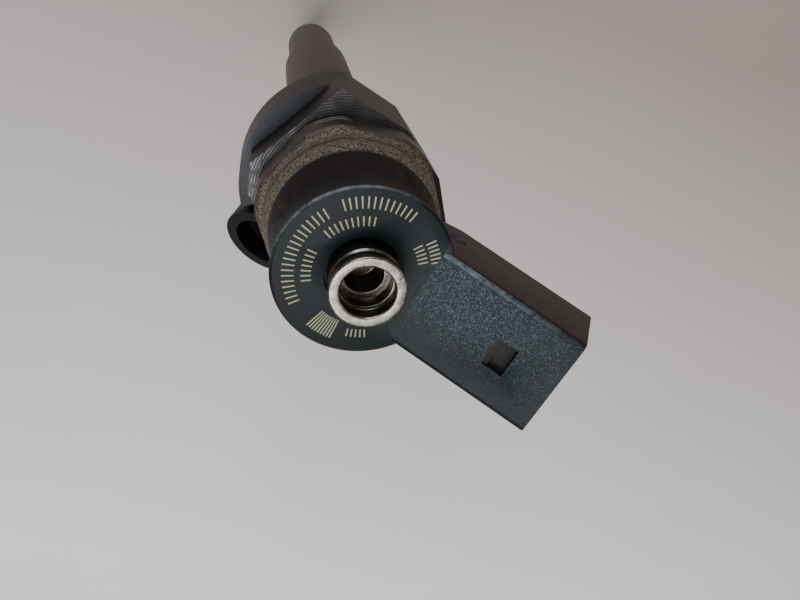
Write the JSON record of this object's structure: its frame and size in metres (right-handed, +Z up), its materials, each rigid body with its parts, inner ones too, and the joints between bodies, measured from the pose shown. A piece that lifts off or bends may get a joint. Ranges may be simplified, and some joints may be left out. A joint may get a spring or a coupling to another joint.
{
  "type": "fuel injector",
  "caption": "Common-rail diesel injector with a plug connector, a fuel inlet and a return stub. A solenoid valve vents the control chamber so the nozzle needle lifts and sprays fuel.",
  "frame": {"origin": "centre of the face of the copper washer that seals on the cylinder head, on the injector's axis", "axes": "+Z runs up the injector's axis from the nozzle to the cap, +X points to the side the electrical connector leaves on"},
  "size_m": [0.0547, 0.0392, 0.1912],
  "materials": {
    "holder_steel": "dark phosphated turned steel",
    "nozzle_nut_steel": "sooty grey-brown steel",
    "solenoid_nut_steel": "brown oxide with light rust",
    "stub_steel": "bright worn plating",
    "hard_steel": "ground hardened steel",
    "spring_steel": "oiled spring wire",
    "magnet_iron": "dull pressed iron",
    "copper": "soft annealed copper",
    "winding": "enamelled copper wire",
    "terminal_tin": "tinned bronze",
    "cap_plastic": "glass-filled black moulding",
    "bobbin_plastic": "natural moulding",
    "seal_rubber": "matte rubber"
  },
  "bodies": {
    "housing": {"holder_body": "holder_steel", "inlet_filter": "hard_steel", "nozzle_nut": "nozzle_nut_steel", "sealing_washer": "copper", "nozzle_body": "hard_steel", "needle_spring": "spring_steel", "needle_spring_shim": "hard_steel", "locating_pins": "hard_steel", "valve_piece": "hard_steel", "valve_seal_ring": "copper", "valve_clamp_screw": "hard_steel", "armature_guide": "hard_steel", "armature_spring": "spring_steel", "lift_ring": "hard_steel", "valve_spring": "spring_steel", "valve_spring_shim": "hard_steel", "magnet_core": "magnet_iron", "coil_bobbin": "bobbin_plastic", "coil_winding": "winding", "magnet_sleeve": "hard_steel", "magnet_cover_disc": "hard_steel", "magnet_o_ring": "seal_rubber", "solenoid_nut": "solenoid_nut_steel", "return_stub": "stub_steel", "stub_o_ring": "seal_rubber", "connector_cap": "cap_plastic", "terminal_left": "terminal_tin", "terminal_right": "terminal_tin"},
    "needle": {"nozzle_needle": "hard_steel", "needle_spring_seat": "hard_steel", "control_plunger": "hard_steel"},
    "valve_pin": {"armature_pin": "hard_steel", "armature_clip": "spring_steel", "ball_guide": "hard_steel", "valve_ball": "hard_steel"},
    "armature": {"armature_plate": "magnet_iron"}
  },
  "joints": [
    {"name": "needle_lift", "type": "slide", "parent": "housing", "child": "needle", "axis": [0, 0, 1], "range_m": [0, 0.00025], "stiffness_N_per_m": 30000, "springref_m": -0.001, "deforming": ["needle_spring"]},
    {"name": "valve_lift", "type": "slide", "parent": "housing", "child": "valve_pin", "axis": [0, 0, 1], "range_m": [0, 0.00005], "stiffness_N_per_m": 20000, "springref_m": -0.003, "deforming": ["valve_spring"]},
    {"name": "armature_overtravel", "type": "slide", "parent": "valve_pin", "child": "armature", "axis": [0, 0, -1], "range_m": [0, 0.00004], "stiffness_N_per_m": 2000, "springref_m": -0.0005, "deforming": ["armature_spring"]}
  ]
}
